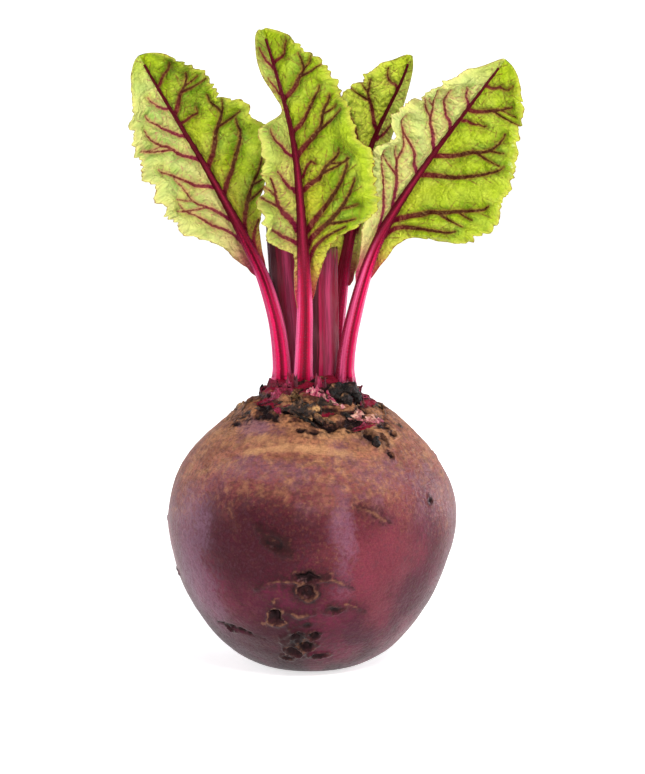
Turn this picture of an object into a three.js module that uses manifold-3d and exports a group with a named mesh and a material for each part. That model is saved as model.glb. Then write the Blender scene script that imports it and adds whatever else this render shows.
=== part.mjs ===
// A globe beetroot with its leaves on, standing on the small flat spot under its root.
// Millimetres, +Z up, with the origin in the middle of the flat spot.
import * as THREE from "three";
import { mergeVertices } from "three/addons/utils/BufferGeometryUtils.js";
import Module from "manifold-3d";

const wasm = await Module();
wasm.setup();

// Driving dimensions, in millimetres.
const rootRadius = 40.2; // the globe at its widest
const rootHeight = 80.5; // flat spot to the top of the crown
const bellyHeight = 40.5; // flat spot to the widest ring
const footRadius = 11; // the flat spot
const crownRadius = 14; // the neck that the stalks grow from
const crownRise = 5; // the neck's top above the shoulders
const lobeDepth = 0.5; // how far the globe is out of round
const stalkWidth = 4.8; // a leaf stalk near its foot
const stalkDepth = 3.8; // the same stalk from front to back
const cutStalkWidth = 8; // the two wide old stalks
const cutStalkDepth = 3.4;
const stubWidth = 3.6; // what is left of a trimmed stalk
const stubDepth = 2.8;
const bladeThickness = 0.6;
const marginWave = 1.2; // how far a leaf's edge ripples out of its surface
const clearance = 0.3; // gap between pieces that touch

// How finely the surfaces are divided.
const rootSegments = 48;
const rootRings = 11; // in the lower half, and again in the upper half
const crownRings = 4;
const stalkSides = 8;
const stalkSteps = 15;
const bladeColumns = 8;
const bladeRows = 16;

const shoulderHeight = rootHeight - crownRise;
const radians = THREE.MathUtils.degToRad;

// Moves every vertex of a three.js solid through a mapping, then welds it into one closed surface.
function shaped(geometry, move) {
  geometry.deleteAttribute("normal");
  geometry.deleteAttribute("uv");
  const vertices = geometry.getAttribute("position");
  for (let i = 0; i < vertices.count; i++) {
    const moved = move(new THREE.Vector3().fromBufferAttribute(vertices, i));
    vertices.setXYZ(i, moved.x, moved.y, moved.z);
  }
  return mergeVertices(geometry, 1e-3);
}

// The root's outline. Below the belly it swells from the foot, above it it falls to the neck.
function lowerRadius(height) {
  const below = 1 - height / bellyHeight;
  return footRadius + (rootRadius - footRadius) * (1 - below ** 1.6) ** 0.57;
}

function upperRadius(height) {
  const above = (height - bellyHeight) / (shoulderHeight - bellyHeight);
  return crownRadius + (rootRadius - crownRadius) * (1 - above ** 2.2) ** 0.9;
}

// The crown is a low dome on the neck.
function domeRadius(height) {
  return crownRadius * Math.sqrt(1 - ((height - shoulderHeight) / crownRise) ** 2);
}

function rootRadiusAt(height) {
  if (height > shoulderHeight) return domeRadius(height);
  return height < bellyHeight ? lowerRadius(height) : upperRadius(height);
}

// The globe is a little lobed, most at the belly and not at all at the foot and the crown.
function lobe(angle, height) {
  const swell = Math.sin((Math.PI * Math.min(height, shoulderHeight)) / shoulderHeight);
  return lobeDepth * swell * (Math.sin(3 * angle + 1) + 0.6 * Math.sin(5 * angle + 2.4));
}

// The root as a turned solid, grown outwards by a margin when it is a cutter for what sits on it.
function rootGeometry(margin) {
  const outline = [new THREE.Vector2(0, -margin), new THREE.Vector2(footRadius + margin, -margin)];
  for (let i = 1; i <= rootRings; i++) {
    const height = bellyHeight * (i / rootRings) ** 2;
    outline.push(new THREE.Vector2(lowerRadius(height) + margin, height));
  }
  for (let i = 1; i <= rootRings; i++) {
    const height = THREE.MathUtils.lerp(bellyHeight, shoulderHeight, i / rootRings);
    outline.push(new THREE.Vector2(upperRadius(height) + margin, height + margin));
  }
  for (let i = 1; i <= crownRings; i++) {
    const turn = ((Math.PI / 2) * i) / crownRings;
    const radius = (crownRadius + margin) * Math.cos(turn);
    const height = shoulderHeight + margin + crownRise * Math.sin(turn);
    outline.push(new THREE.Vector2(i === crownRings ? 0 : radius, height));
  }
  const turned = new THREE.LatheGeometry(outline, rootSegments).rotateX(Math.PI / 2);
  return shaped(turned, (v) => {
    const radius = Math.hypot(v.x, v.y);
    if (radius < 1e-3) return v.set(0, 0, v.z);
    const angle = Math.atan2(v.y, v.x);
    const out = (radius + lobe(angle, Math.max(v.z, 0))) / radius;
    return v.set(v.x * out, v.y * out, v.z);
  });
}

function toSolid(geometry) {
  return new wasm.Manifold(
    new wasm.Mesh({
      numProp: 3,
      vertProperties: geometry.getAttribute("position").array,
      triVerts: new Uint32Array(geometry.index.array),
    }),
  );
}

function toGeometry(solid) {
  const mesh = solid.getMesh();
  return new THREE.BufferGeometry()
    .setAttribute("position", new THREE.BufferAttribute(new Float32Array(mesh.vertProperties), 3))
    .setIndex(new THREE.BufferAttribute(new Uint32Array(mesh.triVerts), 1));
}

const rootCutter = toSolid(rootGeometry(clearance));

// Cuts away what would lie inside the root, leaving the clearance.
const seated = (geometry) => toGeometry(toSolid(geometry).subtract(rootCutter));

// The place, facing side and right-hand side at a share of a stalk's length.
function frameAlong(curve, share) {
  const along = curve.getTangentAt(share);
  const front = new THREE.Vector3(0, -1, 0).projectOnPlane(along).normalize();
  return { point: curve.getPointAt(share), front, side: along.cross(front) };
}

// A path's points are measured from the top of the crown.
function curveOf(path) {
  const points = path.map(([x, y, z]) => new THREE.Vector3(x, y, rootHeight + z));
  return new THREE.CatmullRomCurve3(points, false, "catmullrom", 0.5);
}

// A smooth line through evenly spaced values.
function smooth(values) {
  const line = new THREE.SplineCurve(values.map((value, i) => new THREE.Vector2(i, value)));
  return (share) => line.getPoint(share).y;
}

// A stalk bent along its path, with its front face on the path and its girth following a taper.
function stalkGeometry({ path, width, depth, taper }) {
  const curve = curveOf(path);
  const girth = smooth(taper);
  return shaped(new THREE.CylinderGeometry(1, 1, 1, stalkSides, stalkSteps), (v) => {
    const share = v.y + 0.5;
    const { point, front, side } = frameAlong(curve, share);
    return point
      .addScaledVector(side, (v.x * width * girth(share)) / 2)
      .addScaledVector(front, ((v.z - 1) * depth * girth(share)) / 2);
  });
}

// A blade is a thin sheet in front of the upper stalk. Each half leaves the rib at its fold and
// bends on by its curl, the margin ripples where the blade is wide, and the tip is rounded off.
function bladeGeometry({ path, bladeFrom, halves, waves }) {
  const curve = curveOf(path);
  const sheet = new THREE.BoxGeometry(2, 1, 1, bladeColumns, bladeRows, 1);
  const widths = halves.map((half) => smooth(half.widths));
  return shaped(sheet, (v) => {
    const share = v.y + 0.5;
    const { point, front, side } = frameAlong(curve, THREE.MathUtils.lerp(bladeFrom, 1, share));
    const hand = v.x < 0 ? 0 : 1;
    const out = Math.abs(v.x);
    const fold = radians(halves[hand].fold);
    const curl = radians(halves[hand].curl);
    const width = Math.max(1, widths[hand](share) * Math.sqrt(1 - share ** 12));
    const turn = out === 0 ? 0 : fold + curl * out;
    const sideways = (Math.sin(fold + curl * out) - Math.sin(fold)) / curl;
    const forward = (Math.cos(fold) - Math.cos(fold + curl * out)) / curl;
    const wave = Math.sin(2 * Math.PI * waves * share + hand * 2) * Math.min(1, width / 12) ** 2;
    const lift = clearance + bladeThickness * (0.5 + v.z) + marginWave * out ** 2 * wave;
    const outward = side.multiplyScalar(Math.sign(v.x));
    return point
      .addScaledVector(outward, width * sideways - lift * Math.sin(turn))
      .addScaledVector(front, width * forward + lift * Math.cos(turn));
  });
}

// A lump on the root's skin at an angle round it and so far below the top of the crown, wide, tall
// and proud by so much.
function lumpGeometry({ angle, below, wide, tall, proud }) {
  const height = rootHeight - below;
  const step = 0.1;
  const slope = (rootRadiusAt(height + step) - rootRadiusAt(height - step)) / (2 * step);
  const around = radians(angle);
  const away = new THREE.Vector3(Math.cos(around), Math.sin(around), 0);
  const sideways = new THREE.Vector3(-Math.sin(around), Math.cos(around), 0);
  const upward = away.clone().multiplyScalar(slope).add(new THREE.Vector3(0, 0, 1)).normalize();
  const outward = sideways.clone().cross(upward);
  const centre = away.multiplyScalar(rootRadiusAt(height)).setZ(height);
  return shaped(new THREE.SphereGeometry(1, 14, 10), (v) =>
    centre
      .clone()
      .addScaledVector(sideways, (v.x * wide) / 2)
      .addScaledVector(upward, (v.y * tall) / 2)
      .addScaledVector(outward, v.z * (proud + clearance)),
  );
}

// The leaves, each from its foot in the crown to its tip. The blade starts at a share of that
// length. Half widths run from the blade's foot to its tip, left of the rib and right of it.
const leaves = [
  {
    name: "left",
    path: [
      [-7.9, -2, -6.5], [-8.1, -1, 8], [-12, 2, 25], [-19.1, 5, 40],
      [-28.6, 7, 57.5], [-40.6, 7, 77.5], [-46.9, 3, 89],
    ],
    bladeFrom: 0.34,
    halves: [
      { fold: 20, curl: 30, widths: [1, 7, 13.5, 18.5, 18, 16, 15.5, 9, 4] },
      { fold: 12, curl: 12, widths: [1, 4, 9.5, 16.5, 20, 20, 14, 12.5, 6] },
    ],
    waves: 3,
  },
  {
    name: "centre",
    path: [
      [-1.9, -5, -6.5], [-1.7, -6, 8.5], [-1.3, -8, 25.5], [-2.6, -10, 50],
      [-4.7, -9, 67.5], [-9.3, -4, 85], [-13, 0, 96.5],
    ],
    bladeFrom: 0.25,
    halves: [
      { fold: 35, curl: 30, widths: [1, 2, 12.5, 18, 14, 13, 4, 6, 5] },
      { fold: 10, curl: 15, widths: [1, 4, 10, 21, 21, 18, 16, 10.5, 5] },
    ],
    waves: 3.5,
  },
  {
    name: "right",
    path: [
      [9.7, -3, -6.5], [10.3, -2.5, 7.5], [14.3, 2, 25], [20.1, 5, 40],
      [31, 7.5, 57], [42.9, 8, 73], [53.9, 4, 88],
    ],
    bladeFrom: 0.31,
    halves: [
      { fold: 25, curl: 30, widths: [1, 4, 8.5, 17, 19, 19, 18, 11, 4] },
      { fold: 10, curl: 12, widths: [1, 4, 9, 23, 25, 22.5, 18, 13.5, 9] },
    ],
    waves: 3,
  },
  {
    name: "rear",
    path: [
      [6.2, 7, -6.5], [7, 8, 8.5], [8.4, 10, 20.5], [11, 13, 37.5],
      [16.8, 15, 62.5], [25.5, 14, 81.5], [28, 12, 89],
    ],
    bladeFrom: 0.32,
    halves: [
      { fold: 15, curl: 12, widths: [1, 5.5, 5.5, 7, 8.5, 11, 14, 10, 5] },
      { fold: 50, curl: 25, widths: [1, 6, 6.5, 8.5, 10, 10, 8.5, 6.5, 5] },
    ],
    waves: 3,
  },
];
const leafTaper = [1.15, 0.96, 0.78, 0.56, 0.38, 0.24, 0.14];

// Stalks whose leaves are gone: two tall wide ones behind, and short trimmed stubs.
const cutStalkTaper = [1.1, 1, 0.95, 0.9];
const cutStalks = [
  { name: "rear_left", path: [[-5.6, 4, -6.5], [-6.1, 4.2, 10], [-7.3, 5.5, 24], [-8.6, 8, 43]] },
  { name: "rear_right", path: [[3.9, 1.5, -6.5], [3.9, 1.7, 10], [3.9, 2, 24], [4.1, 2.5, 36]] },
];
const stubs = [
  { name: "front_left", path: [[-4.6, -9.8, -8], [-4.7, -10.2, -3], [-4.8, -10.8, 1.6]] },
  { name: "front_right", path: [[2.6, -9.4, -8], [2.8, -9.8, -3], [3, -10.4, 0.6]] },
  { name: "back_left", path: [[-4.5, 9, -8], [-4.8, 9.3, -1], [-5.3, 10, 5]] },
  { name: "back_right", path: [[0.6, 9.4, -8], [0.6, 9.8, -2], [0.7, 10.4, 2.6]] },
];
const stubTaper = [1.1, 1, 0.9];

// Dead, dried growth on the crown's front.
const driedPieces = [
  { name: "dried_stalk_base", angle: -46, below: 4.3, wide: 7.2, tall: 5.4, proud: 3.2 },
  { name: "dried_leaf_base", angle: -92, below: 7.5, wide: 12.5, tall: 6.5, proud: 1.4 },
  { name: "dried_bud", angle: -51, below: 14.5, wide: 3, tall: 4.6, proud: 1.2 },
];

const material = (color, roughness) => new THREE.MeshStandardMaterial({ color, roughness, metalness: 0 });
const skin = material("#7d4a50", 0.6);
const freshStalk = material("#b01c48", 0.35);
const oldStalk = material("#6a2133", 0.5);
const trimmedStalk = material("#a34a58", 0.6);
const leafGreen = material("#94ac2b", 0.45);
const driedBrown = material("#2f2725", 0.9);

const beetroot = new THREE.Group();

function addPiece(name, geometry, finish) {
  const piece = new THREE.Mesh(geometry, finish);
  piece.name = name;
  beetroot.add(piece);
}

addPiece("root", rootGeometry(0), skin);
for (const leaf of leaves) {
  const rib = { path: leaf.path, width: stalkWidth, depth: stalkDepth, taper: leafTaper };
  addPiece(`stalk_${leaf.name}`, seated(stalkGeometry(rib)), freshStalk);
  addPiece(`leaf_${leaf.name}`, bladeGeometry(leaf), leafGreen);
}
for (const { name, path } of cutStalks) {
  const size = { width: cutStalkWidth, depth: cutStalkDepth, taper: cutStalkTaper };
  addPiece(`cut_stalk_${name}`, seated(stalkGeometry({ path, ...size })), oldStalk);
}
for (const { name, path } of stubs) {
  const size = { width: stubWidth, depth: stubDepth, taper: stubTaper };
  addPiece(`stalk_stub_${name}`, seated(stalkGeometry({ path, ...size })), trimmedStalk);
}
for (const dried of driedPieces) {
  addPiece(dried.name, seated(lumpGeometry(dried)), driedBrown);
}

export default beetroot;
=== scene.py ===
"""A globe beetroot with its leaves on: its surfaces, finishes, light and camera."""

import bpy
import numpy as np
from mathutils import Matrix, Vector


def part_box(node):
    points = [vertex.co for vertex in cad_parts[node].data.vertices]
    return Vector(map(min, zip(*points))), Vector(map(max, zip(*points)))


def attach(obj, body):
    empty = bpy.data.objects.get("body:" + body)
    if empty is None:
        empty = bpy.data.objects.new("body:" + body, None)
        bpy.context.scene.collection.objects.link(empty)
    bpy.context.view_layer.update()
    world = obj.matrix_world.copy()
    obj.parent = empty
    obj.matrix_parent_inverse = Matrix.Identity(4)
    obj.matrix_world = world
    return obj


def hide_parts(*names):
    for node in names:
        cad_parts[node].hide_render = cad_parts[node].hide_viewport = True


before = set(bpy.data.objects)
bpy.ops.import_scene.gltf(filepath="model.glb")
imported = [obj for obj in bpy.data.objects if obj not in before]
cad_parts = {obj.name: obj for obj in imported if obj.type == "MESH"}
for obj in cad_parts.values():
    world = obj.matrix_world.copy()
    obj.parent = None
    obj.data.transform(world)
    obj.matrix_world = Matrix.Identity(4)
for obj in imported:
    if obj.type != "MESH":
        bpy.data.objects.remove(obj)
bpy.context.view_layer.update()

# Shapes are worked out in millimetres and stored in metres.
MM = 0.001


def box_mm(node):
    """The lowest and highest corners of a node, in millimetres."""
    return [np.array(corner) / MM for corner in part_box(node)]


# Sizes in millimetres, which follow the frame's solids. A blade is MARGIN_THICKNESS thick at its
# edge and BLADE_THICKNESS more inside.
ROOT_LOW, ROOT_HIGH = box_mm("root")
ROOT_HEIGHT = ROOT_HIGH[2]
ROOT_RADIUS = (ROOT_HIGH[1] - ROOT_LOW[1]) / 2
BELLY_HEIGHT = 40.5
FOOT_RADIUS = 11
CROWN_RADIUS = 14
CROWN_RISE = 5
SHOULDER_HEIGHT = ROOT_HEIGHT - CROWN_RISE
LOBE_DEPTH = 0.5
STALK_WIDTH = 4.8
STALK_DEPTH = 3.8
CUT_STALK_SIZE = 8, 3.4
STUB_SIZE = 3.6, 2.8
BLADE_THICKNESS = 0.45
MARGIN_THICKNESS = 0.12


# ---- Numbers and curves ----


def smoothstep(low, high, value):
    """0 below low, 1 above high, and an S-shaped rise between them."""
    t = np.clip((value - low) / (high - low), 0, 1)
    return t * t * (3 - 2 * t)


def bump(value, middle, spread):
    """A bell that is 1 at the middle and falls off over the spread."""
    return np.exp(-(((value - middle) / spread) ** 2))


def noise(points, size, seed, layers=3):
    """Seeded noise, mostly between -1 and 1: random values on a lattice of that spacing in mm,
    blended smoothly, with each further layer half as large and half as strong."""
    cells, shift = 32, 7.3
    lattice = np.random.default_rng(seed).uniform(-1, 1, (cells, cells, cells))
    total = 0.0
    for layer in range(layers):
        scaled = points * 2**layer / size + shift * layer
        cell = np.floor(scaled).astype(int)
        part = scaled - cell
        part = part * part * (3 - 2 * part)
        value = 0.0
        for corner in np.ndindex(2, 2, 2):
            weight = np.where(corner, part, 1 - part).prod(axis=-1)
            x, y, z = np.moveaxis((cell + corner) % cells, -1, 0)
            value = value + weight * lattice[x, y, z]
        total = total + value / 2**layer
    return total


def line_noise(along, size, seed, layers=2):
    """The same noise along a line."""
    along = np.asarray(along, float)
    return noise(np.stack([along, along * 0 + seed, along * 0], -1), size, seed, layers)


def spline(values, share):
    """A smooth Catmull-Rom line through evenly spaced values, at shares of its way from 0 to 1."""
    values = np.asarray(values, float)
    padded = np.concatenate([[2 * values[0] - values[1]], values, [2 * values[-1] - values[-2]]])
    place = np.clip(share, 0, 1) * (len(values) - 1)
    first = np.minimum(place.astype(int), len(values) - 2)
    w = place - first
    w = w.reshape(w.shape + (1,) * (values.ndim - 1))
    a, b, c, d = (padded[first + i] for i in range(4))
    return b + 0.5 * w * (c - a + w * (2 * a - 5 * b + 4 * c - d + w * (3 * (b - c) + d - a)))


def frame_along(path, share):
    """The place and the directions along, to the front and to the right at shares of a path's
    length, and that length. The path's points are measured from the top of the crown."""
    knots = np.array(path, float) + [0, 0, ROOT_HEIGHT]
    steps = np.linspace(0, 1, 201)
    spans = np.linalg.norm(np.diff(spline(knots, steps), axis=0), axis=1)
    lengths = np.concatenate([[0], np.cumsum(spans)])
    t = np.interp(np.asarray(share) * lengths[-1], lengths, steps)
    point = spline(knots, t)
    nudge = 1e-3
    along = spline(knots, np.minimum(t + nudge, 1)) - spline(knots, np.maximum(t - nudge, 0))
    along /= np.linalg.norm(along, axis=-1, keepdims=True)
    front = np.array([0, -1, 0]) + along * along[:, 1:2]
    front /= np.linalg.norm(front, axis=-1, keepdims=True)
    return point, along, front, np.cross(along, front), lengths[-1]


def polyline_distance(x, y, corners):
    """Each point's distance to a broken line, and how far along the line its nearest place is."""
    corners = np.asarray(corners, float)
    nearest = np.full(x.shape, 1e3)
    place = np.zeros(x.shape)
    for i, (start, end) in enumerate(zip(corners[:-1], corners[1:])):
        span = end - start
        t = ((x - start[0]) * span[0] + (y - start[1]) * span[1]) / max(span @ span, 1e-9)
        t = np.clip(t, 0, 1)
        distance = np.hypot(x - start[0] - t * span[0], y - start[1] - t * span[1])
        place = np.where(distance < nearest, (i + t) / (len(corners) - 1), place)
        nearest = np.minimum(nearest, distance)
    return nearest, place


# ---- Meshes ----


def skin_over(rings):
    """Joins rings of points, each a closed loop, into one closed surface that faces outwards, with
    a point in the middle of each end."""
    rows, columns = rings.shape[:2]
    points = np.concatenate([rings.reshape(-1, 3), rings[[0, -1]].mean(axis=1)])
    here = np.arange(rows * columns).reshape(rows, columns)
    after = np.roll(here, -1, axis=1)
    quads = np.stack([here[:-1], after[:-1], after[1:], here[1:]], -1).reshape(-1, 4)
    first, last = np.full(columns, rows * columns), np.full(columns, rows * columns + 1)
    caps = np.concatenate(
        [np.stack([after[0], here[0], first], -1), np.stack([here[-1], after[-1], last], -1)]
    )
    a, b, c, d = (points[quads[:, i]] for i in range(4))
    volume = (a * np.cross(b, c)).sum() + (a * np.cross(c, d)).sum()
    if volume < 0:
        quads, caps = quads[:, ::-1], caps[:, ::-1]
    return points, quads, caps


def with_ends(layer):
    """A value for each point of the rings, and their mean for each end's middle point."""
    layer = np.asarray(layer, float)
    width = layer.shape[2:]
    return np.concatenate([layer.reshape((-1,) + width), layer[[0, -1]].mean(axis=1)])


def make_piece(name, solids, material, replaces=()):
    """One mesh object from solids, each with its rings, float layers and a flat pattern map."""
    points, quads, caps, layers, maps = [], [], [], {}, []
    count = 0
    for rings, values, pattern in solids:
        solid_points, solid_quads, solid_caps = skin_over(rings)
        points.append(solid_points)
        quads.append(solid_quads + count)
        caps.append(solid_caps + count)
        maps.append(with_ends(pattern))
        for key, value in values.items():
            layers.setdefault(key, []).append(with_ends(np.broadcast_to(value, rings.shape[:2])))
        count += len(solid_points)
    mesh = bpy.data.meshes.new(name)
    faces = np.concatenate(quads).tolist() + np.concatenate(caps).tolist()
    mesh.from_pydata((np.concatenate(points) * MM).tolist(), [], faces)
    for key, value in layers.items():
        mesh.attributes.new(key, "FLOAT", "POINT").data.foreach_set("value", np.concatenate(value))
    corners = np.empty(len(mesh.loops), int)
    mesh.loops.foreach_get("vertex_index", corners)
    pattern_map = (np.concatenate(maps) * MM)[corners]
    mesh.uv_layers.new(name="pattern").data.foreach_set("uv", pattern_map.ravel())
    mesh.polygons.foreach_set("use_smooth", np.ones(len(mesh.polygons), bool))
    mesh.materials.append(material)
    mesh.update()
    piece = bpy.data.objects.new(name, mesh)
    bpy.context.collection.objects.link(piece)
    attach(piece, "root")
    if replaces:
        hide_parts(*replaces)


# ---- Materials ----


def linear(hex_value):
    """An sRGB hex value as a linear colour."""
    channels = np.array([int(hex_value[i : i + 2], 16) for i in (1, 3, 5)]) / 255
    curved = ((channels + 0.055) / 1.055) ** 2.4
    return (*np.where(channels <= 0.04045, channels / 12.92, curved), 1.0)


def per(size):
    """A pattern's scale from its real size in millimetres."""
    return 1 / (size * MM)


def add(tree, kind, inputs=None, output=0, stops=(), **settings):
    """Adds a node with its settings and returns one of its outputs. Each input is linked from a
    socket, or set to a value or to the colour of a hex value."""
    node = tree.nodes.new("ShaderNode" + kind)
    for key, value in settings.items():
        setattr(node, key, value)
    for key, value in (inputs or {}).items():
        if isinstance(value, bpy.types.NodeSocket):
            tree.links.new(value, node.inputs[key])
        else:
            node.inputs[key].default_value = linear(value) if isinstance(value, str) else value
    for i, (position, colour) in enumerate(stops):
        elements = node.color_ramp.elements
        element = elements[i] if i < 2 else elements.new(position)
        element.position, element.color = position, linear(colour)
    return node.outputs[output]


def start_material(name, roughness, **sockets):
    """A new material, its node tree and its shader, with the shader's constant sockets set."""
    material = bpy.data.materials.new(name)
    material.use_nodes = True
    shader = material.node_tree.nodes["Principled BSDF"]
    shader.inputs["Roughness"].default_value = roughness
    for key, value in sockets.items():
        shader.inputs[key.replace("_", " ")].default_value = value
    return material, material.node_tree, shader


def finish_material(tree, shader, colour, roughness, height, distance, strength):
    """Links the colour, the roughness, and a bump of that height in mm to the shader."""
    relief = add(tree, "Bump", {"Height": height, "Distance": distance * MM, "Strength": strength})
    for key, socket in {"Base Color": colour, "Roughness": roughness, "Normal": relief}.items():
        tree.links.new(socket, shader.inputs[key])


def span(value, low, high, top=1.0):
    """The inputs of a mask that goes from 0 where the value is low to the top where it is high."""
    return {"Value": value, "From Min": low, "From Max": high, "To Max": top}


SOFT = {"interpolation_type": "SMOOTHSTEP"}


def speckle(tree, place, size, low, high, top=1.0, detail=4, squash=(1, 1, 1)):
    """A mask of noise of that size in mm, from 0 where the noise is low to the top where it is
    high. The noise may be squashed along an axis."""
    squashed = add(tree, "Mapping", {"Vector": place, "Scale": squash})
    grain = add(tree, "TexNoise", {"Vector": squashed, "Scale": per(size), "Detail": detail})
    return add(tree, "MapRange", span(grain, low, high, top), **SOFT)


def worn(tree, name, grain, low, high, top=1.0):
    """A mask from a layer stored on the piece, with its edge broken up by the grain."""
    stored = add(tree, "Attribute", output="Fac", attribute_name=name)
    broken = add(tree, "Math", {0: grain, 1: 0.5, 2: stored}, operation="MULTIPLY_ADD")
    return add(tree, "MapRange", span(broken, low, high, top), **SOFT)


def coated(tree, colour, coats):
    """A colour with coats laid over it in turn, each with its mask and its tone."""
    for mask, tone in coats:
        colour = add(tree, "MixRGB", {0: mask, 1: colour, 2: tone})
    return colour


def beet_periderm():
    """A washed beetroot's periderm, a thin skin of cork: tan, rough and finely lined round the
    shoulders, satin and wine-dark below, with olive speckles where soil has stained it. Mauve
    patches and a painted sheen lighten its sides, and painted shade darkens it towards the bottom."""
    material, tree, shader = start_material(
        "beet_periderm", 0.4, Specular_IOR_Level=0.17, Specular_Tint=linear("#ffb8c4")
    )
    place = add(tree, "TexCoord", output="Object")
    height = add(tree, "SeparateXYZ", {0: place}, output="Z")
    share = add(tree, "Math", {0: height, 1: 1 / (ROOT_HEIGHT * MM)}, operation="MULTIPLY")
    drift = speckle(tree, place, 22, 0.25, 0.75, 0.18)
    zone = add(tree, "Math", {0: drift, 1: share}, operation="ADD")
    # The colour darkens towards the bottom: partly the skin's own wine colour, partly painted shade
    # under the globe.
    colour = add(tree, "ValToRGB", {"Fac": zone}, stops=[
        (0.08, "#1c0a12"), (1.0, "#a06e4c"), (0.28, "#371022"), (0.5, "#431224"),
        (0.66, "#54242a"), (0.78, "#743f3c"), (0.86, "#90594a"),
    ])
    upper = add(tree, "MapRange", span(zone, 0.62, 0.86), **SOFT)
    middle = add(tree, "MapRange", span(zone, 0.45, 0.75, 0.7), **SOFT)
    lower = add(tree, "MapRange", span(zone, 0.8, 0.5), **SOFT)
    grain = speckle(tree, place, 1.1, 0.3, 0.7, detail=8)
    grit = speckle(tree, place, 0.7, 0.5, 0.66, detail=5)
    colour = coated(tree, colour, [
        (speckle(tree, place, 9, 0.45, 0.68, lower, squash=(1, 1, 0.5)), "#561a30"),
        (speckle(tree, place, 7, 0.5, 0.7, middle), "#694650"),
        (speckle(tree, place, 5, 0.48, 0.66, upper, detail=8), "#7a4a3a"),
        (speckle(tree, place, 2.8, 0.44, 0.72, upper, detail=9), "#9c7050"),
        (speckle(tree, place, 2, 0.5, 0.62, 0.3, detail=9, squash=(0.6, 0.6, 1.3)), "#2a1214"),
        (speckle(tree, place, 1.0, 0.5, 0.7, middle, detail=8), "#74503c"),
        (speckle(tree, place, 0.9, 0.5, 0.68, 0.4, detail=6), "#3f2c1c"),
        (worn(tree, "rosy", grain, 0.2, 1.5, 0.65), "#78343e"),
        (worn(tree, "wine", grain, 0.1, 1.3, 0.8), "#25060f"),
        # Mauve patches round the shoulders, and a painted sheen of highlights down the sides.
        (worn(tree, "mauve_and_sheen", grain, 0.2, 1.5, 0.6), "#77546a"),
        (worn(tree, "cream", speckle(tree, place, 3, 0.3, 0.7, detail=9), 0.4, 1.6, 0.75), "#b68a62"),
        (worn(tree, "bruise", grain, 0.2, 1.2, 0.9), "#1e0d0c"),
        (worn(tree, "scar", grain, 0.5, 1.1), "#0b0808"),
        (worn(tree, "cork", speckle(tree, place, 1.6, 0.2, 0.8), 0.4, 1.15, 0.8), "#74503c"),
        (worn(tree, "flesh", grain, 0.5, 1.1), "#6a0c24"),
    ])
    fine = speckle(tree, place, 0.45, 0.3, 0.7, detail=3)
    colour = add(tree, "MixRGB", {0: 0.14, 1: colour, 2: fine}, blend_type="OVERLAY")
    rough = add(tree, "Math", {0: upper, 1: 0.2, 2: 0.36}, operation="MULTIPLY_ADD")
    rough = add(tree, "Math", {0: grit, 1: 0.15, 2: rough}, operation="MULTIPLY_ADD")
    cracks = speckle(tree, place, 1.3, 0.5, 0.6, upper, detail=8, squash=(0.4, 0.4, 1.6))
    relief = add(tree, "Math", {0: cracks, 1: -1.2, 2: grain}, operation="MULTIPLY_ADD")
    relief = add(tree, "Math", {0: grit, 1: 0.3, 2: relief}, operation="MULTIPLY_ADD")
    depth = add(tree, "Math", {0: upper, 1: 0.7, 2: 0.3}, operation="MULTIPLY_ADD")
    relief = add(tree, "Math", {0: relief, 1: depth}, operation="MULTIPLY")
    finish_material(tree, shader, colour, rough, relief, 0.22, 0.55)
    return material


def petiole_epidermis():
    """A fresh leaf stalk's epidermis: crisp, waxy and crimson, with pale magenta ribs and a deep red
    channel, going darker as it becomes the leaf's midrib, and with painted shade at its foot."""
    material, tree, shader = start_material(
        "petiole_epidermis", 0.3, Specular_IOR_Level=0.3, Specular_Tint=linear("#ff90b0")
    )
    along = add(tree, "UVMap", uv_map="pattern")
    streaks = speckle(tree, along, 1.9, 0.42, 0.58, squash=(1, 0.02, 1))
    threads = speckle(tree, along, 0.55, 0.45, 0.6, squash=(1, 0.02, 1))
    clean = speckle(tree, along, 0.5, 0.2, 0.8)
    colour = add(tree, "MixRGB", {0: streaks, 1: "#94032a", 2: "#c8104f"})
    spots = speckle(tree, along, 1.5, 0.42, 0.6)
    colour = coated(tree, colour, [
        (worn(tree, "deep", clean, 0.25, 1.2, 0.9), "#4c010f"),
        (worn(tree, "pale", clean, 0.25, 1.2, 0.85), "#d8578a"),
        (speckle(tree, along, 0.7, 0.5, 0.62, 0.5, squash=(1, 0.02, 1)), "#5c0117"),
        (worn(tree, "midrib", clean, 0.1, 1.1, 0.95), "#3d040c"),
        (worn(tree, "midline", clean, 0.3, 1.2, 0.6), "#9c1c40"),
        # Painted shade at each stalk's foot, where it meets the crown and the stalks beside it.
        (worn(tree, "foot", spots, 0.6, 1.5, 0.9), "#2e0c12"),
    ])
    rough = add(tree, "Math", {0: threads, 1: 0.16, 2: 0.24}, operation="MULTIPLY_ADD")
    ridges = add(tree, "Math", {0: streaks, 1: threads}, operation="ADD")
    finish_material(tree, shader, colour, rough, ridges, 0.14, 0.6)
    return material


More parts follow.
